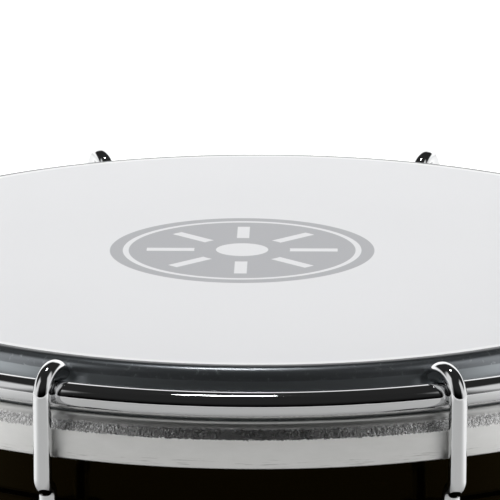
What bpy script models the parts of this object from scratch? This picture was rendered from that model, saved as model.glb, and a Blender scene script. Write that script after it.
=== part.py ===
"""A small single-headed frame drum of the tamborim kind, tuned by eight J-hooks.

Metres, +Z up. The origin is the centre of the shell's bottom rim, and the head looks up.
"""

import math

import bmesh
import bpy
from mathutils import Matrix, Vector

MM = 0.001

# Driving dimensions, in millimetres
SHELL_OUTER_R = 76.2      # a six inch shell
HEIGHT = 44.5             # bottom rim to playing surface
WALL = 3.0
BEARING_R = 75.05         # outer corner of the edge that the head rests on, before rounding
BEARING_ROUND = 1.4
BEARING_BEVEL = 4.2       # height of the long bevel outside it
LEDGE_Z = 21.4            # top of the thicker lower band
LEDGE_STEP = 2.0
BAND_INSET = 1.6          # how far the inside steps out within the lower band
HOOK_COUNT = 8
GAP = 0.3                 # air between touching pieces
RING_STEPS = 64           # facets round every turned piece

# Head film
FILM = 0.3
SHOULDER_R = 75.56        # where the flat head turns down, before rounding
SHOULDER_FILLET = 2.0
FOOT_R = 78.1             # outer face of the hem held in the flesh hoop
NECK_DEPTH = 9.3          # playing surface to the top of the hem
FOOT_DEPTH = 12.8

# Counter hoop, a ring of round wire
HOOP_WIRE_R = 2.12
HOOP_CENTRE_R = 80.85
HOOP_DEPTH = 4.5
HOOP_WIRE_SIDES = 10

# Flesh hoop, as radii and depths below the playing surface
FLESH_INNER_R = 76.7
FLESH_OUTER_R = 82.4
FLESH_BOTTOM_DEPTH = 14.55
FLESH_INNER_TOP_DEPTH = 10.3
FLESH_TOP_DEPTH = HOOP_DEPTH + HOOP_WIRE_R + GAP
BEAD_R = 81.6             # rounded shoulder outside the flat that carries the counter hoop
BEAD_ROUND = 1.25
CRIMP_TOP_DEPTH = 8.25
CRIMP_BOTTOM_DEPTH = 9.8

# Hooks, bent from wire with a threaded foot
WIRE_R = 1.47
WIRE_SIDES = 10
HOOK_WRAP = math.radians(144)
HOOK_WRAP_STEPS = 8
HOOK_UPPER_R = HOOP_CENTRE_R + HOOP_WIRE_R + GAP + WIRE_R
HOOK_LOWER_R = 82.95
HOOK_TURNS = {7: 8.0}     # degrees that a hook is turned in its lug, by number
JOG_DEPTH = 18.9
JOG_HEIGHT = 3.2
JOG_STEPS = 5
HOOK_FOOT_Z = 1.5

# Moulded lugs, washers and nuts
LUG_BOTTOM_Z = 11.0
LUG_TOP_Z = 20.3
LUG_HALF_WIDTH = 4.6
LUG_ROOT = 0.6            # how far a lug reaches into the shell's neck line
LUG_NOSE_STEPS = 8
HOLE_R = 1.8
HOLE_SIDES = 16
WASHER_R = 3.2
WASHER_THICK = 0.6
NUT_ACROSS_FLATS = 5.5
NUT_HEIGHT = 3.4
NUT_CHAMFER = 0.35
NUT_BOTTOM_Z = LUG_BOTTOM_Z - 2 * GAP - WASHER_THICK - NUT_HEIGHT


def clear_scene():
    for obj in list(bpy.data.objects):
        bpy.data.objects.remove(obj, do_unlink=True)


def make_material(name, colour, roughness, metallic=0.0):
    material = bpy.data.materials.new(name)
    material.use_nodes = True
    shader = material.node_tree.nodes["Principled BSDF"]
    shader.inputs["Base Color"].default_value = (*colour, 1.0)
    shader.inputs["Roughness"].default_value = roughness
    shader.inputs["Metallic"].default_value = metallic
    return material


def add_object(name, mesh, material, parent=None):
    obj = bpy.data.objects.new(name, mesh)
    bpy.context.scene.collection.objects.link(obj)
    mesh.materials.append(material)
    obj.parent = parent
    return obj


def smooth(mesh, degrees=35):
    mesh.shade_smooth()
    mesh.set_sharp_from_angle(angle=math.radians(degrees))


def rounded(points, steps=3):
    """An outline of (x, z, corner radius) points with each corner turned into an arc."""
    outline = []
    count = len(points)
    for i, (x, z, radius) in enumerate(points):
        corner = Vector((x, z))
        if radius <= 0:
            outline.append(corner)
            continue
        before = (Vector(points[i - 1][:2]) - corner).normalized()
        after = (Vector(points[(i + 1) % count][:2]) - corner).normalized()
        half = before.angle(after) / 2
        start = corner + before * radius / math.tan(half)
        centre = corner + (before + after).normalized() * radius / math.sin(half)
        arm = start - centre
        sweep = arm.angle_signed(corner + after * radius / math.tan(half) - centre)
        for k in range(steps + 1):
            turned = arm.copy()
            turned.rotate(Matrix.Rotation(-sweep * k / steps, 2))
            outline.append(centre + turned)
    return outline


def turned(name, outline, material, steps=RING_STEPS, closed=True):
    """A solid of revolution about Z from an outline of radius and height, in millimetres."""
    bm = bmesh.new()
    verts = [bm.verts.new((p[0] * MM, 0.0, p[1] * MM)) for p in outline]
    edges = [bm.edges.new(pair) for pair in zip(verts, verts[1:])]
    if closed:
        edges.append(bm.edges.new((verts[-1], verts[0])))
    bmesh.ops.spin(
        bm, geom=verts + edges, cent=(0, 0, 0), axis=(0, 0, 1), angle=math.tau,
        steps=steps, use_merge=True, use_duplicate=False,
    )
    bmesh.ops.remove_doubles(bm, verts=bm.verts, dist=0.001 * MM)
    bmesh.ops.recalc_face_normals(bm, faces=bm.faces)
    mesh = bpy.data.meshes.new(name)
    bm.to_mesh(mesh)
    bm.free()
    smooth(mesh)
    return add_object(name, mesh, material)


def boolean(target, cutter, operation):
    modifier = target.modifiers.new(f"{operation.lower()}_{cutter.name}", "BOOLEAN")
    modifier.operation = operation
    modifier.object = cutter
    cutter.hide_render = True
    cutter.display_type = "WIRE"


def lug_angles():
    """Angles of the lug and hook stations about Z, evenly spaced from half a station."""
    return [math.tau * (k + 0.5) / HOOK_COUNT for k in range(HOOK_COUNT)]


def lug_blocks():
    """One mesh of all the lugs: blocks with a round nose about the hook's line."""
    bm = bmesh.new()
    root = SHELL_OUTER_R + LUG_ROOT - HOOK_LOWER_R
    for angle in lug_angles():
        plan = [Vector((root, -LUG_HALF_WIDTH))]
        for k in range(LUG_NOSE_STEPS + 1):
            turn = math.pi * (k / LUG_NOSE_STEPS - 0.5)
            plan.append(Vector((math.cos(turn), math.sin(turn))) * LUG_HALF_WIDTH)
        plan.append(Vector((root, LUG_HALF_WIDTH)))
        verts = [bm.verts.new((p.x * MM, p.y * MM, LUG_BOTTOM_Z * MM)) for p in plan]
        face = bm.faces.new(verts)
        lifted = bmesh.ops.extrude_face_region(bm, geom=[face])["geom"]
        top = [v for v in lifted if isinstance(v, bmesh.types.BMVert)]
        bmesh.ops.translate(bm, verts=top, vec=(0, 0, (LUG_TOP_Z - LUG_BOTTOM_Z) * MM))
        bmesh.ops.transform(bm, matrix=station(angle, 0.0), verts=verts + top)
    bmesh.ops.recalc_face_normals(bm, faces=bm.faces)
    mesh = bpy.data.meshes.new("lug_blocks")
    bm.to_mesh(mesh)
    bm.free()
    return bpy.data.objects.new("lug_blocks", mesh)


def lug_holes():
    """One mesh of all the cutters for the hook holes."""
    bm = bmesh.new()
    for angle in lug_angles():
        bmesh.ops.create_cone(
            bm, cap_ends=True, segments=HOLE_SIDES, radius1=HOLE_R * MM, radius2=HOLE_R * MM,
            depth=2 * (LUG_TOP_Z - LUG_BOTTOM_Z) * MM,
            matrix=station(angle, (LUG_BOTTOM_Z + LUG_TOP_Z) / 2),
        )
    mesh = bpy.data.meshes.new("lug_holes")
    bm.to_mesh(mesh)
    bm.free()
    return bpy.data.objects.new("lug_holes", mesh)


def build_shell(material):
    """Moulded shell: bearing edge, slim neck under the hoops, ledge, thicker band, bottom rim."""
    top = HEIGHT - FILM - GAP
    inner = SHELL_OUTER_R - WALL
    band_inner = inner + BAND_INSET
    band_outer = SHELL_OUTER_R + LEDGE_STEP
    outline = rounded([
        (inner, top, 0.5),
        (BEARING_R, top, BEARING_ROUND),
        (SHELL_OUTER_R, top - BEARING_BEVEL, 0.0),
        (SHELL_OUTER_R, LEDGE_Z, 0.0),
        (band_outer, LEDGE_Z, 0.5),
        (band_outer, 0.0, 0.8),
        (band_inner, 0.0, 0.6),
        (band_inner, LEDGE_Z - WALL - 1.0, 0.0),
        (inner, LEDGE_Z - WALL, 0.0),
    ], steps=2)
    shell = turned("shell", outline, material)
    for helper, operation in ((lug_blocks(), "UNION"), (lug_holes(), "DIFFERENCE")):
        bpy.context.scene.collection.objects.link(helper)
        boolean(shell, helper, operation)
    return shell


def build_film(material):
    """Head film: flat playing area, shoulder, sloping collar, and a hem in the flesh hoop."""
    neck_z = HEIGHT - NECK_DEPTH
    foot_z = HEIGHT - FOOT_DEPTH
    lean = math.atan2(FOOT_R - SHOULDER_R, NECK_DEPTH)
    shoulder_shift = FILM * (1 / math.cos(lean) - math.tan(lean))
    neck_shift = FILM * (1 / math.cos(lean) - 1) / math.tan(lean)
    outline = rounded([
        (0.0, HEIGHT, 0.0),
        (SHOULDER_R, HEIGHT, SHOULDER_FILLET),
        (FOOT_R, neck_z, 0.0),
        (FOOT_R, foot_z, 0.0),
        (FOOT_R - FILM, foot_z, 0.0),
        (FOOT_R - FILM, neck_z - neck_shift, 0.0),
        (SHOULDER_R - shoulder_shift, HEIGHT - FILM, SHOULDER_FILLET - FILM),
        (0.0, HEIGHT - FILM, 0.0),
    ], steps=3)
    return turned("head_film", outline, material, closed=False)


def build_flesh_hoop(material):
    """Aluminium hoop crimped on the film's hem, which sits in a slot that opens upwards."""
    top = HEIGHT - FLESH_TOP_DEPTH
    bottom = HEIGHT - FLESH_BOTTOM_DEPTH
    inner_top = HEIGHT - FLESH_INNER_TOP_DEPTH
    slot_inner = FOOT_R - FILM - GAP
    slot_outer = FOOT_R + GAP
    slot_bottom = HEIGHT - FOOT_DEPTH - GAP
    outline = rounded([
        (FLESH_INNER_R, bottom, 0.3),
        (FLESH_INNER_R, inner_top, 0.0),
        (slot_inner, inner_top, 0.0),
        (slot_inner, slot_bottom, 0.0),
        (slot_outer, slot_bottom, 0.0),
        (slot_outer, top, 0.0),
        (BEAD_R, top, BEAD_ROUND),
        (BEAD_R, HEIGHT - CRIMP_TOP_DEPTH, 0.0),
        (FLESH_OUTER_R, HEIGHT - CRIMP_BOTTOM_DEPTH, 0.0),
        (FLESH_OUTER_R, bottom, 0.4),
    ], steps=2)
    return turned("flesh_hoop", outline, material)


def build_counter_hoop(material):
    """Round wire ring that presses the flesh hoop down."""
    outline = []
    for k in range(HOOP_WIRE_SIDES):
        turn = math.tau * k / HOOP_WIRE_SIDES
        outline.append(Vector((
            HOOP_CENTRE_R + HOOP_WIRE_R * math.cos(turn),
            HEIGHT - HOOP_DEPTH + HOOP_WIRE_R * math.sin(turn),
        )))
    return turned("counter_hoop", outline, material)


def station(angle, z):
    """Where a hook's lower rod stands, at a height in millimetres, turned to face out."""
    return Matrix.Rotation(angle, 4, "Z") @ Matrix.Translation((HOOK_LOWER_R * MM, 0, z * MM))


def hook_line():
    """The wire's centre line as (distance out from the lower rod, height) points."""
    points = []
    wrap_r = HOOK_UPPER_R - HOOP_CENTRE_R
    for k in range(HOOK_WRAP_STEPS + 1):
        turn = HOOK_WRAP * (1 - k / HOOK_WRAP_STEPS)
        points.append((
            HOOP_CENTRE_R + wrap_r * math.cos(turn) - HOOK_LOWER_R,
            HEIGHT - HOOP_DEPTH + wrap_r * math.sin(turn),
        ))
    for k in range(JOG_STEPS + 1):
        share = k / JOG_STEPS
        ease = share * share * (3 - 2 * share)
        points.append((
            (HOOK_UPPER_R - HOOK_LOWER_R) * (1 - ease),
            HEIGHT - JOG_DEPTH + JOG_HEIGHT * (0.5 - share),
        ))
    points.append((0.0, HOOK_FOOT_Z))
    return points


def build_hook(number, angle, material):
    """J-hook: over the hoop, down outside it, a jog in to the lug, and a threaded foot."""
    curve = bpy.data.curves.new(f"tension_hook_{number}", "CURVE")
    curve.dimensions = "3D"
    curve.bevel_depth = WIRE_R * MM
    curve.bevel_resolution = WIRE_SIDES // 2 - 2
    curve.resolution_u = 1
    curve.render_resolution_u = 0
    curve.use_fill_caps = True
    points = hook_line()
    spline = curve.splines.new("POLY")
    spline.points.add(len(points) - 1)
    for point, (out, z) in zip(spline.points, points):
        point.co = (out * MM, 0.0, (z - LUG_BOTTOM_Z) * MM, 1.0)
        point.tilt = math.pi / WIRE_SIDES
    hook = add_object(f"tension_hook_{number}", curve, material)
    turn = Matrix.Rotation(math.radians(HOOK_TURNS.get(number, 0.0)), 4, "Z")
    hook.matrix_world = station(angle, LUG_BOTTOM_Z) @ turn
    return hook


def build_washer(number, angle, material):
    outline = [
        Vector((HOLE_R, 0.0)), Vector((WASHER_R, 0.0)),
        Vector((WASHER_R, WASHER_THICK)), Vector((HOLE_R, WASHER_THICK)),
    ]
    washer = turned(f"lug_washer_{number}", outline, material, steps=HOLE_SIDES)
    washer.matrix_world = station(angle, LUG_BOTTOM_Z - GAP - WASHER_THICK)
    return washer


def build_nut(number, angle, material):
    """Hexagon nut: a six-sided ring with its outer corners chamfered."""
    bm = bmesh.new()
    circumradius = NUT_ACROSS_FLATS / math.sqrt(3)
    bmesh.ops.create_cone(
        bm, cap_ends=True, segments=6, radius1=circumradius * MM, radius2=circumradius * MM,
        depth=NUT_HEIGHT * MM, matrix=Matrix.Translation((0, 0, NUT_HEIGHT / 2 * MM)),
    )
    for share in (0, 1):
        rim = [
            v for v in bm.verts
            if abs(v.co.z - share * NUT_HEIGHT * MM) < 1e-7
        ]
        corners = [e for e in bm.edges if e.verts[0] in rim and e.verts[1] in rim]
        bmesh.ops.bevel(
            bm, geom=corners, offset=NUT_CHAMFER * MM, segments=1, affect="EDGES", profile=0.5
        )
    mesh = bpy.data.meshes.new(f"tuning_nut_{number}")
    bm.to_mesh(mesh)
    bm.free()
    nut = add_object(f"tuning_nut_{number}", mesh, material)
    nut.matrix_world = station(angle, NUT_BOTTOM_Z)
    bore = turned(
        f"nut_bore_{number}",
        [Vector((0, -1)), Vector((HOLE_R, -1)),
         Vector((HOLE_R, NUT_HEIGHT + 1)), Vector((0, NUT_HEIGHT + 1))],
        material, steps=HOLE_SIDES, closed=False,
    )
    bore.matrix_world = nut.matrix_world
    boolean(nut, bore, "DIFFERENCE")
    return nut


def main():
    clear_scene()
    plastic = make_material("black_abs", (0.012, 0.011, 0.010), 0.18)
    film = make_material("coated_film", (0.80, 0.81, 0.82), 0.45)
    aluminium = make_material("satin_aluminium", (0.62, 0.62, 0.61), 0.35, 1.0)
    chrome = make_material("chrome", (0.75, 0.76, 0.77), 0.05, 1.0)
    steel = make_material("zinc_steel", (0.60, 0.61, 0.62), 0.25, 1.0)
    build_shell(plastic)
    build_film(film)
    build_flesh_hoop(aluminium)
    build_counter_hoop(chrome)
    for number, angle in enumerate(lug_angles(), 1):
        build_hook(number, angle, chrome)
        build_washer(number, angle, steel)
        build_nut(number, angle, steel)


main()
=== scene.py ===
import math

import bpy
from mathutils import Matrix, Vector


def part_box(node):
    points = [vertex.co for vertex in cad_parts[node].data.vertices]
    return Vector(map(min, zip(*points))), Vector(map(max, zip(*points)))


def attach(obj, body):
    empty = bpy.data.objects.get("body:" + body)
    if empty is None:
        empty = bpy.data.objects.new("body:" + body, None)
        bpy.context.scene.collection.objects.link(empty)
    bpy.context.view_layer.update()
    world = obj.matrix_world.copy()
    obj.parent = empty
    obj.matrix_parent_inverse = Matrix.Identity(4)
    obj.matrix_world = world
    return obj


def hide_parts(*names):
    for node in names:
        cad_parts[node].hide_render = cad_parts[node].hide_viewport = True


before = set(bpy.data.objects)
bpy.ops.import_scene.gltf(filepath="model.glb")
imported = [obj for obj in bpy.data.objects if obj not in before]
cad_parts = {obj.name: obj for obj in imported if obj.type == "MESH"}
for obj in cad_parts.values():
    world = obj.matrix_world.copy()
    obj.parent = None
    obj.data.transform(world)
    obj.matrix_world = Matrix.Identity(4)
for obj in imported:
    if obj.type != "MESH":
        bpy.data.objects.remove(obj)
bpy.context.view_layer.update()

mm = 0.001
scene = bpy.context.scene
scene.view_settings.view_transform = "Standard"

# heights that everything is built on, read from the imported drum
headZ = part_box("head_film")[1][2]
ringLow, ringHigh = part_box("counter_hoop")
washerLow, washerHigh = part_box("lug_washer_1")
nutLow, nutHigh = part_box("tuning_nut_1")
ringZ = (ringLow[2] + ringHigh[2]) / 2
hookCount = sum(name.startswith("tension_hook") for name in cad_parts)
rodRadius = 82.95  # mm from the drum's axis to each hook's rod
print("frame loaded:", len(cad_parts), "nodes,", hookCount, "hooks")


class Maths:
    # wraps a socket, so that plain Python sums add Math nodes
    def __init__(self, tree, socket):
        self.tree = tree
        self.socket = socket

    def run(self, operation, *values):
        return node(self.tree, "ShaderNodeMath", {"operation": operation}, dict(enumerate(values)))

    def __add__(self, other):
        return self.run("ADD", self, other)

    def __sub__(self, other):
        return self.run("SUBTRACT", self, other)

    def __rsub__(self, other):
        return self.run("SUBTRACT", other, self)

    def __mul__(self, other):
        return self.run("MULTIPLY", self, other)

    def __truediv__(self, other):
        return self.run("DIVIDE", self, other)

    def __pow__(self, other):
        return self.run("POWER", self, other)

    def __neg__(self):
        return self.run("MULTIPLY", self, -1.0)

    def __abs__(self):
        return self.run("ABSOLUTE", self)

    __radd__ = __add__
    __rmul__ = __mul__

    def most(self, other):
        return self.run("MAXIMUM", self, other)


def node(tree, kind, settings=None, values=None, out=0):
    # one node: its settings first, then its sockets' values or links
    made = tree.nodes.new(kind)
    for key, value in (settings or {}).items():
        setattr(made, key, value)
    for key, value in (values or {}).items():
        target = made.inputs[key]
        if isinstance(value, Maths):
            tree.links.new(value.socket, target)
        else:
            target.default_value = value
    return Maths(tree, made.outputs[out])


def step(value, low, high):
    # smooth 0 to 1 as value goes from low to high
    return node(value.tree, "ShaderNodeMapRange", {"interpolation_type": "SMOOTHSTEP"},
                {"Value": value, "From Min": low, "From Max": high, "To Min": 0.0, "To Max": 1.0})


def blendColours(factor, first, second):
    return node(factor.tree, "ShaderNodeMix", {"data_type": "RGBA"},
                {"Factor": factor, "A": first, "B": second}, out=2)


def noise(tree, place, scale, detail=3.0, roughness=0.5):
    return node(tree, "ShaderNodeTexNoise", {}, {
        "Vector": place, "Scale": scale, "Detail": detail, "Roughness": roughness})


def axes(tree, place):
    made = tree.nodes.new("ShaderNodeSeparateXYZ")
    tree.links.new(place.socket, made.inputs[0])
    return [Maths(tree, output) for output in made.outputs]


def vector(tree, x, y, z):
    return node(tree, "ShaderNodeCombineXYZ", {}, {"X": x, "Y": y, "Z": z})


def stretched(tree, place, scale):
    # a place scaled up along an axis makes a pattern finer along it
    return node(tree, "ShaderNodeMapping", {}, {"Vector": place, "Scale": scale})


def shadeOf(colour, factor=1.0):
    return tuple(c * factor for c in colour) + (1.0,)


def newMaterial(name, **constants):
    # a material whose shader has its fixed values set, and the Object coordinates that patterns read
    made = bpy.data.materials.new(name)
    made.use_nodes = True
    shader = made.node_tree.nodes["Principled BSDF"]
    for key, value in constants.items():
        shader.inputs[key.replace("_", " ")].default_value = value
    place = node(made.node_tree, "ShaderNodeTexCoord", out=3)
    return made, made.node_tree, shader, place


def feed(tree, shader, **values):
    for key, value in values.items():
        tree.links.new(value.socket, shader.inputs[key.replace("_", " ")])


def bump(tree, height, distance, strength=1.0, normal=None):
    values = {"Height": height, "Distance": distance, "Strength": strength}
    if normal:
        values["Normal"] = normal
    return node(tree, "ShaderNodeBump", {}, values)


def begin():
    # out of edit mode, with nothing selected
    if bpy.context.mode != "OBJECT":
        bpy.ops.object.mode_set(mode="OBJECT")
    bpy.ops.object.select_all(action="DESELECT")


def settle(piece, material, smoothAngle=35.0):
    # back to object mode, place put in the mesh, faces out, shaded smooth between sharp corners
    begin()
    bpy.context.view_layer.objects.active = piece
    piece.select_set(True)
    bpy.ops.object.transform_apply(location=True, rotation=True, scale=True)
    bpy.ops.object.mode_set(mode="EDIT")
    bpy.ops.mesh.select_all(action="SELECT")
    bpy.ops.mesh.remove_doubles(threshold=0.002 * mm)
    bpy.ops.mesh.normals_make_consistent(inside=False)
    bpy.ops.object.mode_set(mode="OBJECT")
    bpy.ops.object.shade_smooth_by_angle(angle=math.radians(smoothAngle))
    piece.data.materials.clear()
    piece.data.materials.append(material)
    piece.select_set(False)
    return piece


def applyModifier(piece, kind, name="shape", **settings):
    begin()
    bpy.context.view_layer.objects.active = piece
    piece.select_set(True)
    made = piece.modifiers.new(name, kind)
    for key, value in settings.items():
        setattr(made, key, value)
    bpy.ops.object.modifier_apply(modifier=made.name)
    piece.select_set(False)


def bevelEdges(piece, width, segments, sharperThan):
    applyModifier(piece, "BEVEL", width=width * mm, segments=segments, limit_method="ANGLE",
                  angle_limit=math.radians(sharperThan))


def rounded(corners, steps=5):
    # corners are (radius, height, rounding); each rounding becomes an arc of points
    outline = []
    for i, (x, z, rounding) in enumerate(corners):
        here = Vector((x, z))
        if rounding <= 0:
            outline.append(here)
            continue
        back = (Vector(corners[i - 1][:2]) - here).normalized()
        ahead = (Vector(corners[(i + 1) % len(corners)][:2]) - here).normalized()
        half = back.angle(ahead) / 2
        middle = here + (back + ahead).normalized() * rounding / math.sin(half)
        arm = here + back * rounding / math.tan(half) - middle
        sweep = arm.angle_signed(here + ahead * rounding / math.tan(half) - middle)
        for k in range(steps + 1):
            turned = arm.copy()
            turned.rotate(Matrix.Rotation(-sweep * k / steps, 2))
            outline.append(middle + turned)
    return outline


def pullRing(fromPoint, toPoint):
    # extrudes the chosen ring of edges to a new radius and height, in millimetres
    rise = (toPoint[1] - fromPoint[1]) * mm
    bpy.ops.mesh.extrude_edges_move(TRANSFORM_OT_translate={"value": (0, 0, rise)})
    grow = toPoint[0] / fromPoint[0]
    bpy.ops.transform.resize(value=(grow, grow, 1), center_override=(0, 0, toPoint[1] * mm))


def turnPiece(name, outline, segments, closed=True, cap=False):
    # a ring of edges pulled along the outline like clay on a wheel
    begin()
    bpy.ops.mesh.primitive_circle_add(
        vertices=segments, radius=outline[0][0] * mm, location=(0, 0, outline[0][1] * mm))
    piece = bpy.context.active_object
    piece.name = piece.data.name = name
    bpy.ops.object.transform_apply(location=True, rotation=False, scale=False)
    bpy.ops.object.mode_set(mode="EDIT")
    bpy.ops.mesh.select_all(action="SELECT")
    if cap:
        bpy.ops.mesh.edge_face_add()
        bpy.ops.mesh.poke()
        chooseRing(piece, *outline[0])
    path = list(outline) + ([outline[0]] if closed else [])
    for fromPoint, toPoint in zip(path, path[1:]):
        pullRing(fromPoint, toPoint)
    if cap:
        bpy.ops.mesh.edge_face_add()
        bpy.ops.mesh.poke()
    bpy.ops.object.mode_set(mode="OBJECT")
    return piece


def chooseRing(piece, radius, height):
    # selects the edges that lie at a radius and height
    bpy.ops.mesh.select_all(action="DESELECT")
    bpy.ops.object.mode_set(mode="OBJECT")
    points = piece.data.vertices
    near = [
        abs(math.hypot(p.co.x, p.co.y) - radius * mm) < 0.01 * mm
        and abs(p.co.z - height * mm) < 0.01 * mm for p in points
    ]
    for edge in piece.data.edges:
        edge.select = near[edge.vertices[0]] and near[edge.vertices[1]]
    bpy.ops.object.mode_set(mode="EDIT")


def copyPiece(piece, name, turn=0.0):
    # a copy with its own mesh, turned about the drum's axis
    made = piece.copy()
    made.data = piece.data.copy()
    made.name = made.data.name = name
    bpy.context.collection.objects.link(made)
    made.data.transform(Matrix.Rotation(turn, 4, "Z"))
    return made


def hookAngle(number):
    return math.tau * (number - 0.5) / hookCount


look = {
    "lens": 310.0, "distance": 747.3, "pitch": 14.166, "turn": 1.0,  # mm and degrees
    "target": (-1.24, 0.05),  # mm from the middle of the head
    # the floor's colours: a painted shade makes the floor greyer and glow less in front of the drum
    "floorSize": 6.0, "paintedShadeColour": (0.50, 0.50, 0.495), "floorBack": (0.95, 0.95, 0.945),
    "floorGlow": 0.50, "paintedShadeGlow": (0.46, 0.46, 0.46), "paintedShadeReach": (0.30, 0.85),  # metres
    "overhead": 4.15, "sides": 4.4, "strip": 1.2,  # watts
    "wallEnd": (0.17, 0.33), "wallRise": 0.32, "wallGlow": 1.0, "backGlow": 0.45, "sideGlow": 0.9,
    "frontDark": 0.001, "frontHaze": 0.026, "underGlow": 0.9,
}


def addCamera():
    turn = Matrix.Rotation(math.radians(look["turn"]), 3, "Z")
    pitch = math.radians(look["pitch"])
    target = turn @ Vector((look["target"][0] * mm, look["target"][1] * mm, 0)) + Vector((0, 0, headZ))
    back = turn @ Vector((0, -math.cos(pitch), math.sin(pitch)))
    camera = bpy.data.objects.new("pictureCamera", bpy.data.cameras.new("pictureCamera"))
    bpy.context.collection.objects.link(camera)
    camera.location = target + back * look["distance"] * mm
    camera.rotation_euler = back.to_track_quat("Z", "Y").to_euler()
    camera.data.lens = look["lens"]
    camera.data.sensor_width = 36.0
    camera.data.clip_start = 0.01
    scene.camera = camera


def addLamp(name, place, size, watts, glossy=True):
    lamp = bpy.data.objects.new(name, bpy.data.lights.new(name, "AREA"))
    bpy.context.collection.objects.link(lamp)
    lamp.data.shape = "RECTANGLE"
    lamp.data.size, lamp.data.size_y = size
    lamp.data.energy = watts
    lamp.location = place
    lamp.rotation_euler = (Vector(place) - Vector((0, 0, 0.03))).to_track_quat("Z", "Y").to_euler()
    lamp.visible_glossy = glossy  # the large ones give soft light and no mirror image


def buildWorld():
    # a low white wall round the drum, higher behind it, dark in front, with a softbox at each side
    world = bpy.data.worlds.new("studio")
    world.use_nodes = True
    scene.world = world
    tree = world.node_tree
    direction = node(tree, "ShaderNodeTexCoord")
    x, y, z = axes(tree, direction)
    level = (x * x + y * y + 0.0001) ** 0.5
    facing = -y / level  # 1 straight in front, -1 straight behind
    front = step(facing, 0.25, 0.75)
    behind = step(-facing, 0.2, 0.7)
    wall = 1.0 - step(z - look["wallRise"] * step(-facing, 0.72, 0.95), *look["wallEnd"])
    frontSide = step(facing, -0.15, 0.15) * (1.0 - step(facing, 0.50, 0.70))
    softbox = step(abs(x), 0.40, 0.60) * frontSide * (1.0 - step(z, 0.68, 0.82)) * (1.0 - wall)
    around = (1.0 - front) * (0.03 + wall * (look["wallGlow"] + look["backGlow"] * behind))
    ahead = front * (look["frontDark"] + look["frontHaze"] * step(z, 0.1, 0.55))
    above = around + ahead + softbox * look["sideGlow"]
    high = step(z, -0.06, -0.01)
    strength = above * high + (1.0 - high) * look["underGlow"]
    background = tree.nodes["Background"]
    background.inputs["Color"].default_value = (1.0, 1.0, 1.0, 1.0)
    tree.links.new(strength.socket, background.inputs["Strength"])


def buildStudio():
    buildWorld()
    floorMaterial, tree, shader, place = newMaterial("floorPaper", Roughness=0.65, Specular_IOR_Level=0.2)
    grain = noise(tree, place, 900.0, 2.0)
    x, y, z = axes(tree, place)
    reach = (x * x + y * y + 0.0001) ** 0.5
    paintedFloorShade = step(-y / reach, 0.42, 0.90) * (1.0 - step(reach, *look["paintedShadeReach"]))  # painted shade: greyer and dimmer in front of the drum, fading out with distance
    sweep = (1.0 - paintedFloorShade) * 0.98 + grain * 0.02
    feed(tree, shader,
         Base_Color=blendColours(sweep, shadeOf(look["paintedShadeColour"]), shadeOf(look["floorBack"])),
         Emission_Color=blendColours(sweep, shadeOf(look["paintedShadeGlow"]), (1, 1, 1, 1)))
    shader.inputs["Emission Strength"].default_value = look["floorGlow"]
    begin()
    bpy.ops.mesh.primitive_plane_add(size=look["floorSize"], location=(0, 0, -0.0002))
    floor = bpy.context.active_object
    floor.name = "floor"
    floor.data.materials.append(floorMaterial)
    addLamp("softTop", (0.0, 0.12, 0.9), (0.6, 0.6), look["overhead"], glossy=False)
    addLamp("stripLamp", (-0.066, 0.12, 1.05), (0.20, 0.07), look["strip"])
    addLamp("leftBox", (-1.4, 0.15, 0.8), (1.0, 1.0), look["sides"], glossy=False)
    addLamp("rightBox", (1.4, 0.15, 0.8), (1.0, 1.0), look["sides"], glossy=False)


addCamera()
buildStudio()
print("camera, floor and light placed")

headFilm = {
    "shoulderRadius": 75.56, "shoulderRounding": 2.0,
    "hemRadius": 78.1, "neckDepth": 9.3, "hemDepth": 12.8, "thickness": 0.3,
    "coatRadius": 73.55, "markCentre": (-2.61, 0.29), "markRadius": 22.96,
    "white": (0.735, 0.74, 0.755), "markGrey": (0.375, 0.38, 0.40), "coatEdge": (0.86, 0.865, 0.87),
    "collarLow": ((0.42, 0.46, 0.485), (0.54, 0.585, 0.62)),
    "collarHigh": ((0.25, 0.27, 0.29), (0.52, 0.56, 0.60)), "bendPaintedShade": (0.05, 0.055, 0.06),
    "ringBand": (0.86, 0.90), "bars": 8, "barSpan": (0.36, 0.725), "barHalf": 0.05, "hub": 0.20,
    "segments": 384,
}


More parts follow.
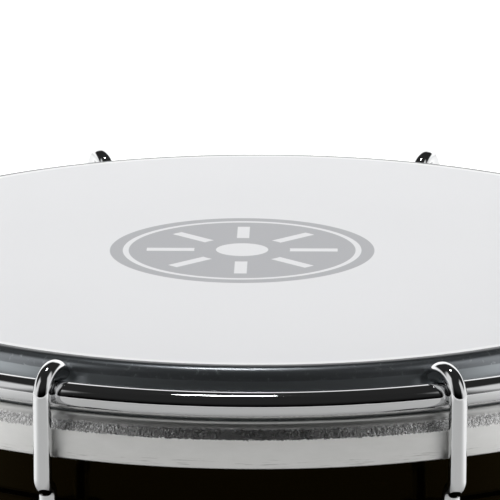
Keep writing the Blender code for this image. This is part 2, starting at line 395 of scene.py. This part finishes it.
def coatedFilm():
    v = headFilm
    material, tree, shader, place = newMaterial(
        "coatedFilm", Roughness=0.5, IOR=1.55, Coat_Roughness=0.05)
    x, y, z = axes(tree, place)
    x, y = x * 1000.0, y * 1000.0
    radius = (x * x + y * y) ** 0.5
    ragged = noise(tree, place, 700.0, 2.0) * 0.10
    coated = step(radius + ragged, v["coatRadius"] + 0.09, v["coatRadius"] + 0.01)
    # the mark: a pale ring and short bars on a grey disc
    mx, my = x - v["markCentre"][0], y - v["markCentre"][1]
    reach = (mx * mx + my * my) ** 0.5 / v["markRadius"]
    disc = step(reach, 1.003, 0.997)
    soft = 0.005  # how wide the print's edges are
    ring = step(reach, v["ringBand"][0] - soft, v["ringBand"][0]) \
        * step(reach, v["ringBand"][1] + soft, v["ringBand"][1])
    turned = my.run("ARCTAN2", my, mx) + math.pi
    folded = turned.run("PINGPONG", turned, math.pi / v["bars"])
    across = folded.run("SINE", folded) * reach
    bars = step(across, v["barHalf"], v["barHalf"] - 0.006) \
        * step(reach, v["barSpan"][0], v["barSpan"][0] + soft) \
        * step(reach, v["barSpan"][1], v["barSpan"][1] - soft)
    pale = ring.most(bars).most(step(reach, v["hub"], v["hub"] - soft))
    ink = disc * (1.0 - pale)
    # the coat: a fine sprayed texture and a slow change of tone
    speckle = noise(tree, place, 2600.0, 3.0, 0.6)
    cloudy = noise(tree, place, 28.0, 3.0, 0.55)
    white = blendColours(cloudy, shadeOf(v["white"]), shadeOf(v["white"], 1.03))
    printed = blendColours(ink, white, shadeOf(v["markGrey"]))
    thick = step(radius, v["coatRadius"] - 1.5, v["coatRadius"] - 0.9)  # the coat is paler in a thin ring just inside its edge
    printed = blendColours(thick, printed, shadeOf(v["coatEdge"]))
    # the bare film outside the coat: flecked above, drawn in fine level streaks below
    depth = (headZ - z) * 1000.0
    unrolled = vector(tree, y.run("ARCTAN2", y, x) * 0.076, z, 0.0)  # metres round the collar
    drawn = noise(tree, stretched(tree, unrolled, (14, 420, 1)), 4.0, 4.0, 0.6)
    flecks = step(noise(tree, unrolled, 950.0, 4.0, 0.65), 0.56, 0.74)
    upper = step(depth + ragged, 2.15, 1.95)
    lower = blendColours(drawn, *map(shadeOf, v["collarLow"]))
    mottled = blendColours(flecks, *map(shadeOf, v["collarHigh"]))
    # painted shade: the bare film is made almost black and loses its coat where it starts to bend down
    # from the coat's edge, fading out 0.35 mm lower
    bend = step(depth, 0.05, 0.35)
    collar = blendColours(bend, shadeOf(v["bendPaintedShade"]), blendColours(upper, lower, mottled))
    bare = 1.0 - coated
    feed(tree, shader,
         Base_Color=blendColours(coated, collar, printed),
         Metallic=bare * 0.9,
         Roughness=coated * (0.46 + 0.08 * speckle) + bare * (0.27 + 0.08 * drawn + upper * flecks * 0.12),
         Coat_Weight=bare * bend * 0.8 + coated * 0.03)
    pebbles = bump(tree, speckle * coated, 0.00003, 0.35)
    ripple = bump(tree, drawn * bare, 0.00003, 0.3, pebbles)
    feed(tree, shader, Normal=ripple)
    return material


def buildHead():
    v = headFilm
    # middle of the film out to the hem, then Solidify gives it its thickness inwards
    outline = rounded([
        (36.0, 0.0, 0.0),
        (v["shoulderRadius"], 0.0, v["shoulderRounding"]),
        (v["hemRadius"], -v["neckDepth"], 0.6),
        (v["hemRadius"], -v["hemDepth"], 0.0),
    ], steps=8)
    outline = [Vector((p.x, p.y + headZ / mm)) for p in outline]
    begin()
    bpy.ops.mesh.primitive_circle_add(
        vertices=v["segments"], radius=outline[0].x * mm, location=(0, 0, headZ), fill_type="TRIFAN")
    film = bpy.context.active_object
    film.name = film.data.name = "headFilm"
    bpy.ops.object.transform_apply(location=True, rotation=False, scale=False)
    bpy.ops.object.mode_set(mode="EDIT")
    chooseRing(film, *outline[0])
    for fromPoint, toPoint in zip(outline, outline[1:]):
        pullRing(fromPoint, toPoint)
    bpy.ops.object.mode_set(mode="OBJECT")
    settle(film, coatedFilm())
    applyModifier(film, "SOLIDIFY", thickness=v["thickness"] * mm, offset=-1.0, use_even_offset=True)
    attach(film, "drum")
    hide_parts("head_film")


buildHead()
print("head film done")

fleshHoop = {
    "innerRadius": 76.7, "outerRadius": 82.4, "bottomDepth": 14.55, "innerTopDepth": 10.3,
    "slotInner": 77.5, "slotOuter": 78.4, "slotDepth": 13.1,
    "beadTopDepth": 6.92, "beadRadius": 81.45, "beadRounding": 1.25,
    "crimpTop": (81.6, 8.25), "crimpBottom": 9.8,
    "satin": ((0.63, 0.63, 0.615), (0.75, 0.75, 0.74)), "rubbedShade": (0.40, 0.40, 0.385),
    "crimpDark": ((0.40, 0.40, 0.40), (0.62, 0.62, 0.61)), "crimpPale": (0.95, 0.95, 0.95),
    "segments": 720,
}


def rolledAluminium():
    v = fleshHoop
    material, tree, shader, place = newMaterial("rolledAluminium", Metallic=1.0)
    x, y, z = axes(tree, place)
    depth = (headZ - z) * 1000.0
    radius = (x * x + y * y) ** 0.5 * 1000.0
    unrolled = vector(tree, y.run("ARCTAN2", y, x) * 0.083, z, radius * mm)  # metres round the hoop
    drawn = noise(tree, stretched(tree, unrolled, (12, 900, 900)), 6.0, 4.0, 0.6)
    dull = noise(tree, stretched(tree, unrolled, (60, 160, 60)), 3.0, 4.0, 0.6)
    grit = noise(tree, place, 2600.0, 3.0, 0.7)
    ragged = (noise(tree, place, 1700.0, 3.0, 0.65) - 0.5) * 0.9
    crimp = step(depth + ragged, v["crimpTop"][1] - 0.4, v["crimpTop"][1] + 0.4) \
        * step(depth + ragged, v["crimpBottom"] + 0.12, v["crimpBottom"] - 0.12)
    # darker rub marks a little above the lower edge
    rubbed = step(noise(tree, stretched(tree, unrolled, (90, 1400, 90)), 3.0, 4.0, 0.6), 0.54, 0.70) \
        * step(depth, 12.6, 13.2) * step(depth, 14.4, 13.9)
    pale = blendColours(dull, *map(shadeOf, v["satin"]))
    pale = blendColours(rubbed * 0.7, pale, shadeOf(v["rubbedShade"]))
    # the crimp: dark grains that grow paler downwards, with bright ones between
    grains = step(noise(tree, place, 2300.0, 3.0, 0.7), 0.38, 0.66)
    speck = blendColours(step(depth, v["crimpTop"][1], v["crimpBottom"]), *map(shadeOf, v["crimpDark"]))
    shade = blendColours(crimp, pale, blendColours(grains, speck, shadeOf(v["crimpPale"])))
    feed(tree, shader,
         Base_Color=shade,
         Roughness=(1.0 - crimp) * (0.24 + 0.10 * drawn + 0.08 * dull) + crimp * (0.16 + 0.12 * grit))
    fine = bump(tree, drawn, 0.00002, 0.3)
    rough = bump(tree, grit * crimp, 0.00012, 0.9, fine)
    feed(tree, shader, Normal=rough)
    return material


def buildFleshHoop():
    v = fleshHoop
    top = headZ / mm
    outline = rounded([
        (v["innerRadius"], top - v["bottomDepth"], 0.35),
        (v["innerRadius"], top - v["innerTopDepth"], 0.2),
        (v["slotInner"], top - v["innerTopDepth"], 0.15),
        (v["slotInner"], top - v["slotDepth"], 0.0),
        (v["slotOuter"], top - v["slotDepth"], 0.0),
        (v["slotOuter"], top - v["beadTopDepth"], 0.3),
        (v["beadRadius"], top - v["beadTopDepth"], v["beadRounding"]),
        (v["crimpTop"][0], top - v["crimpTop"][1], 0.15),
        (v["outerRadius"], top - v["crimpBottom"], 0.3),
        (v["outerRadius"], top - v["bottomDepth"], 0.4),
    ], steps=4)
    # more rings along the crimp, which is the part that catches the light
    dense = []
    for here, ahead in zip(outline, outline[1:] + outline[:1]):
        dense.append(here)
        upperEnd = max(here.y, ahead.y)
        outside = min(here.x, ahead.x) > v["crimpTop"][0] - 0.1
        within = top - v["crimpBottom"] < upperEnd < top - v["crimpTop"][1] + 0.2
        if outside and within and (here - ahead).length > 0.8:
            dense += [here.lerp(ahead, k / 8) for k in range(1, 8)]
    hoop = turnPiece("fleshHoop", dense, v["segments"])
    settle(hoop, rolledAluminium())
    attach(hoop, "drum")
    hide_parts("flesh_hoop")


buildFleshHoop()
print("flesh hoop done")

counterHoop = {
    "centreRadius": 80.85, "wireRadius": 2.118, "segments": 512, "sides": 40,
    "chrome": (0.60, 0.605, 0.61), "hairlines": 0.3,
}


def polishedChrome(name, tint, scratchStrength):
    material, tree, shader, place = newMaterial(name, Metallic=1.0)
    long = noise(tree, place, 55.0, 4.0, 0.55)
    fine = noise(tree, place, 1500.0, 3.0, 0.6)
    hair = noise(tree, stretched(tree, place, (40, 40, 900)), 6.0, 3.0, 0.6)
    feed(tree, shader,
         Base_Color=blendColours(long, shadeOf(tint), shadeOf(tint, 1.05)),
         Roughness=0.035 + 0.03 * step(long, 0.35, 0.7) + 0.03 * step(fine, 0.55, 0.8))
    wavy = bump(tree, long, 0.00025, 0.10)
    feed(tree, shader, Normal=bump(tree, hair, 0.000004, scratchStrength, wavy))
    return material


def buildCounterHoop():
    v = counterHoop
    begin()
    # the wire's section, spun round the drum's axis
    bpy.ops.mesh.primitive_circle_add(
        vertices=v["sides"], radius=v["wireRadius"] * mm,
        location=(v["centreRadius"] * mm, 0, ringZ), rotation=(math.pi / 2, 0, 0))
    ring = bpy.context.active_object
    ring.name = ring.data.name = "counterHoop"
    bpy.ops.object.transform_apply(location=True, rotation=True, scale=False)
    bpy.ops.object.mode_set(mode="EDIT")
    bpy.ops.mesh.select_all(action="SELECT")
    bpy.ops.mesh.spin(steps=v["segments"], angle=math.tau, center=(0, 0, 0), axis=(0, 0, 1))
    bpy.ops.object.mode_set(mode="OBJECT")
    settle(ring, polishedChrome("hoopChrome", v["chrome"], v["hairlines"]), 60)
    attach(ring, "drum")
    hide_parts("counter_hoop")


buildCounterHoop()
print("counter hoop done")

shellBody = {
    "neckRadius": 76.2, "innerRadius": 73.2, "crownRadius": 75.05, "crownDepth": 0.45, "bevelDepth": 4.8,
    "ledgeZ": 21.4, "bandRadius": 78.2, "bandInner": 74.8, "segments": 384,
    "black": (0.0009, 0.0005, 0.0001), "sheen": (1.0, 0.68, 0.12), "gloss": 0.07,
    "lugHalf": 4.6, "lugTop": 20.3, "holeRadius": 1.8,
    "lugFlare": ((3.2, 1.0), (0.45, 1.02), (0.3, 1.04), (0.22, 1.06), (0.15, 1.08), (0.8, 1.0)),
}


def mouldedPlastic(name, black, gloss):
    material, tree, shader, place = newMaterial(
        name, IOR=1.45, Specular_IOR_Level=0.05, Specular_Tint=shadeOf(shellBody["sheen"]))
    soft = noise(tree, place, 35.0, 4.0, 0.55)
    orange = noise(tree, place, 420.0, 2.0, 0.5)
    dust = step(noise(tree, place, 1900.0, 2.0, 0.5), 0.70, 0.78)
    scuff = step(noise(tree, stretched(tree, place, (1, 1, 14)), 60.0, 4.0, 0.7), 0.62, 0.75)
    feed(tree, shader,
         Base_Color=blendColours(soft, shadeOf(black), shadeOf(black, 1.5)),
         Roughness=gloss + 0.05 * soft + 0.10 * scuff + 0.2 * dust)
    feed(tree, shader, Normal=bump(tree, orange, 0.00004, 0.12, bump(tree, soft, 0.0003, 0.10)))
    return material


def buildShell():
    v = shellBody
    top = headZ / mm
    outline = rounded([
        (v["innerRadius"], top - v["crownDepth"], 0.6),
        (v["crownRadius"], top - v["crownDepth"], 1.5),
        (v["neckRadius"], top - v["bevelDepth"], 1.5),
        (v["neckRadius"], v["ledgeZ"], 0.25),
        (v["bandRadius"], v["ledgeZ"], 0.45),
        (v["bandRadius"], 0.0, 0.8),
        (v["bandInner"], 0.0, 0.6),
        (v["bandInner"], v["ledgeZ"] - 4.0, 0.8),
        (v["innerRadius"], v["ledgeZ"] - 3.0, 0.8),
    ], steps=5)
    gloss = mouldedPlastic("glossBlackShell", v["black"], v["gloss"])
    shell = settle(turnPiece("drumShell", outline, v["segments"]), gloss)
    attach(shell, "drum")
    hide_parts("shell")
    lug = buildLug(gloss)
    for number in range(1, hookCount + 1):
        made = copyPiece(lug, f"shellLug{number}", hookAngle(number))
        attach(made, "drum")
    bpy.data.objects.remove(lug)


def chooseFaces(piece, wanted):
    bpy.ops.mesh.select_all(action="DESELECT")
    bpy.ops.object.mode_set(mode="OBJECT")
    for face in piece.data.polygons:
        face.select = wanted(face)
    bpy.ops.object.mode_set(mode="EDIT")


def buildLug(material):
    # a round-nosed block on the rod's line, flared where it meets the shell
    v = shellBody
    low, high = washerHigh[2] + 0.3 * mm, v["lugTop"] * mm
    middle = (rodRadius * mm, 0, (low + high) / 2)
    begin()
    bpy.ops.mesh.primitive_cylinder_add(
        vertices=48, radius=v["lugHalf"] * mm, depth=high - low, location=middle)
    lug = bpy.context.active_object
    lug.name = lug.data.name = "shellLug"
    bpy.ops.object.transform_apply(location=True, rotation=False, scale=False)
    bpy.ops.object.mode_set(mode="EDIT")
    bpy.ops.mesh.select_all(action="SELECT")
    bpy.ops.mesh.bisect(plane_co=middle, plane_no=(1, 0, 0), use_fill=True, clear_inner=True)
    chooseFaces(lug, lambda face: face.normal.x < -0.99)
    for reach, grow in v["lugFlare"]:
        bpy.ops.mesh.extrude_region_move(TRANSFORM_OT_translate={"value": (-reach * mm, 0, 0)})
        bpy.ops.transform.resize(value=(1, grow, grow), center_override=middle)
    bpy.ops.object.mode_set(mode="OBJECT")
    cutter = settle(turnPiece("lugHole", [
        Vector((v["holeRadius"] + 0.9, high / mm + 0.6)), Vector((v["holeRadius"], high / mm - 0.35)),
        Vector((v["holeRadius"], low / mm + 0.35)), Vector((v["holeRadius"] + 0.9, low / mm - 0.6)),
    ], 40, closed=False, cap=True), material)
    cutter.data.transform(Matrix.Translation((rodRadius * mm, 0, 0)))
    settle(lug, material)
    bevelEdges(lug, 0.45, 4, 60)
    applyModifier(lug, "BOOLEAN", object=cutter, operation="DIFFERENCE", solver="EXACT")
    bpy.data.objects.remove(cutter)
    return settle(lug, material, 30)


buildShell()
print("shell done")

tensionHook = {
    "wireRadius": 1.46, "sides": 32, "legRadius": 84.74, "wrap": 144.0, "turns": {7: 8.0},
    "jogDepth": 18.9, "jogHeight": 3.2, "threadTop": 13.0, "footZ": 1.5,
    "threadRoot": 1.20, "threadCrest": 1.49, "pitch": 0.5, "threadSteps": 24,
    "chrome": (0.62, 0.625, 0.63), "hairlines": 0.3,
}


def buildHook(chrome):
    v = tensionHook
    # the rod, the step outwards to the leg, the leg, then the bend over the hoop
    wire = v["wireRadius"] * mm
    shift = v["legRadius"] - rodRadius
    half = math.atan2(shift, v["jogHeight"])
    bend = v["jogHeight"] / (2 * math.sin(2 * half))
    jogLow = headZ / mm - v["jogDepth"] - v["jogHeight"] / 2
    jogHigh = jogLow + v["jogHeight"]
    begin()
    bpy.ops.mesh.primitive_circle_add(
        vertices=v["sides"], radius=wire, location=(rodRadius * mm, 0, (v["threadTop"] - 0.3) * mm),
        fill_type="NGON")
    hook = bpy.context.active_object
    hook.name = hook.data.name = "tensionHook"
    bpy.ops.object.transform_apply(location=True, rotation=False, scale=False)
    bpy.ops.object.mode_set(mode="EDIT")
    bpy.ops.mesh.select_all(action="SELECT")
    bpy.ops.mesh.extrude_region_move(
        TRANSFORM_OT_translate={"value": (0, 0, (jogLow - v["threadTop"] + 0.3) * mm)})
    for side, centre in ((-1, (rodRadius + bend, jogLow)), (1, (v["legRadius"] - bend, jogHigh))):
        bpy.ops.mesh.spin(
            steps=10, angle=side * 2 * half, center=(centre[0] * mm, 0, centre[1] * mm), axis=(0, 1, 0))
    for k in range(6):
        bpy.ops.mesh.extrude_region_move(
            TRANSFORM_OT_translate={"value": (0, 0, (ringZ - jogHigh * mm) / 6)})
    bpy.ops.mesh.spin(
        steps=40, angle=math.radians(v["wrap"]), center=(counterHoop["centreRadius"] * mm, 0, ringZ),
        axis=(0, 1, 0))
    bpy.ops.object.mode_set(mode="OBJECT")
    settle(hook, chrome, 40)
    bevelEdges(hook, 0.28, 4, 60)
    thread = buildThread(chrome)
    begin()
    thread.select_set(True)
    hook.select_set(True)
    bpy.context.view_layer.objects.active = hook
    bpy.ops.object.join()
    return settle(hook, chrome, 40)


def buildThread(material):
    # one pitch of the thread's profile, wound up the rod by Screw, its two ends cut flat and filled
    v = tensionHook
    turns = math.ceil((v["threadTop"] - v["footZ"]) / v["pitch"]) + 2
    base = v["footZ"] - v["pitch"]
    root, crest, pitch = v["threadRoot"], v["threadCrest"], v["pitch"]
    profile = [(root, 0.0), (crest, 0.42), (crest, 0.58), (root, 1.0)]
    begin()
    bpy.ops.mesh.primitive_plane_add(size=mm)
    thread = bpy.context.active_object
    thread.name = thread.data.name = "hookThread"
    bpy.ops.object.mode_set(mode="EDIT")
    bpy.ops.mesh.select_all(action="SELECT")
    bpy.ops.mesh.merge(type="CENTER")
    bpy.ops.transform.translate(value=(profile[0][0] * mm, 0, base * mm))
    for (r0, z0), (r1, z1) in zip(profile, profile[1:]):
        bpy.ops.mesh.extrude_vertices_move(
            TRANSFORM_OT_translate={"value": ((r1 - r0) * mm, 0, (z1 - z0) * pitch * mm)})
    bpy.ops.object.mode_set(mode="OBJECT")
    applyModifier(thread, "SCREW", screw_offset=pitch * mm, iterations=turns, axis="Z",
                  steps=v["threadSteps"], render_steps=v["threadSteps"], use_merge_vertices=False)
    begin()
    bpy.context.view_layer.objects.active = thread
    thread.select_set(True)
    bpy.ops.object.mode_set(mode="EDIT")
    bpy.ops.mesh.select_all(action="SELECT")
    bpy.ops.mesh.remove_doubles(threshold=0.005 * mm)
    for height, above in ((v["threadTop"], True), (v["footZ"], False)):
        bpy.ops.mesh.select_all(action="SELECT")
        bpy.ops.mesh.bisect(plane_co=(0, 0, height * mm), plane_no=(0, 0, 1), use_fill=True,
                            clear_outer=above, clear_inner=not above)
    bpy.ops.object.mode_set(mode="OBJECT")
    settle(thread, material, 30)
    point = settle(turnPiece("threadPoint", [
        Vector((root - 0.15, v["footZ"] - 0.01)), Vector((crest + 0.2, v["footZ"] + 0.45)),
        Vector((crest + 0.2, v["threadTop"] + 1.0))], 32, closed=False, cap=True), material)
    applyModifier(thread, "BOOLEAN", object=point, operation="INTERSECT", solver="EXACT")
    bpy.data.objects.remove(point)
    thread.data.transform(Matrix.Translation((rodRadius * mm, 0, 0)))
    return thread


tuningNut = {
    "acrossFlats": 5.5, "boreRadius": 1.56, "mouthRadius": 1.85, "chamfer": 0.42,
    "zinc": ((0.56, 0.575, 0.60), (0.66, 0.665, 0.66)),
}
lugWasher = {"boreRadius": 1.62, "outerRadius": 3.2}


def zincPlate():
    material, tree, shader, place = newMaterial("zincPlate", Metallic=1.0)
    long = noise(tree, place, 220.0, 4.0, 0.6)
    fine = noise(tree, place, 2600.0, 3.0, 0.6)
    feed(tree, shader,
         Base_Color=blendColours(long, *map(shadeOf, tuningNut["zinc"])),
         Roughness=0.20 + 0.14 * long + 0.10 * fine)
    feed(tree, shader, Normal=bump(tree, fine, 0.00002, 0.4, bump(tree, long, 0.00005, 0.3)))
    return material


def buildNut(material):
    # a hexagon whose corners are turned off at both ends, with a chamfered bore
    v = tuningNut
    low, high = nutLow[2] / mm, nutHigh[2] / mm + 0.14
    corner = v["acrossFlats"] / math.sqrt(3)
    begin()
    bpy.ops.mesh.primitive_cylinder_add(
        vertices=6, radius=corner * mm, depth=(high - low) * mm, location=(0, 0, (high + low) / 2 * mm))
    nut = bpy.context.active_object
    nut.name = nut.data.name = "tuningNut"
    flat, mouth = v["acrossFlats"] / 2, v["mouthRadius"] - v["boreRadius"]
    barrel = settle(turnPiece("nutBarrel", [
        Vector((flat - 0.05, low - 0.02)), Vector((corner + 0.1, low + v["chamfer"])),
        Vector((corner + 0.1, high - v["chamfer"])), Vector((flat - 0.05, high + 0.02))],
        96, closed=False, cap=True), material)
    hole = settle(turnPiece("nutHole", [
        Vector((v["mouthRadius"] + 0.5, low - 0.5)), Vector((v["boreRadius"], low + mouth)),
        Vector((v["boreRadius"], high - mouth)), Vector((v["mouthRadius"] + 0.5, high + 0.5))],
        40, closed=False, cap=True), material)
    settle(nut, material)
    applyModifier(nut, "BOOLEAN", object=barrel, operation="INTERSECT", solver="EXACT")
    applyModifier(nut, "BOOLEAN", object=hole, operation="DIFFERENCE", solver="EXACT")
    bevelEdges(nut, 0.05, 2, 22)
    for helper in (barrel, hole):
        bpy.data.objects.remove(helper)
    nut.data.transform(Matrix.Translation((rodRadius * mm, 0, 0)))
    return settle(nut, material, 25)


def buildWasher(material):
    bore, rim = lugWasher["boreRadius"], lugWasher["outerRadius"]
    low, high = washerLow[2] / mm - 0.12, washerHigh[2] / mm + 0.12
    outline = rounded([
        (bore, low, 0.08), (rim, low, 0.10), (rim, high, 0.22), (bore, high, 0.15)], steps=3)
    washer = settle(turnPiece("lugWasher", outline, 64), material)
    washer.data.transform(Matrix.Translation((rodRadius * mm, 0, 0)))
    return washer


def turnInLug(hook, number):
    # a hook that stands a little round in its lug, about its own rod
    axis = Matrix.Rotation(hookAngle(number), 4, "Z") @ Vector((rodRadius * mm, 0, 0))
    twist = Matrix.Rotation(math.radians(tensionHook["turns"][number]), 4, "Z")
    hook.data.transform(Matrix.Translation(axis) @ twist @ Matrix.Translation(-axis))


def buildTension():
    chrome = polishedChrome("hookChrome", tensionHook["chrome"], tensionHook["hairlines"])
    zinc = zincPlate()
    kinds = (
        (buildHook(chrome), "tensionHook", "tension_hook", "hook", "hook_chrome"),
        (buildWasher(zinc), "lugWasher", "lug_washer", None, "zinc_steel"),
        (buildNut(zinc), "tuningNut", "tuning_nut", "nut", "zinc_steel"),
    )
    for first, name, nodeName, body, slotName in kinds:
        for number in range(1, hookCount + 1):
            made = copyPiece(first, f"{name}{number}", hookAngle(number))
            if name == "tensionHook" and number in tensionHook["turns"]:
                turnInLug(made, number)
            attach(made, f"{body}_{number}" if body else "drum")
            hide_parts(f"{nodeName}_{number}")
        bpy.data.objects.remove(first)


buildTension()
print("hooks, washers and nuts done")
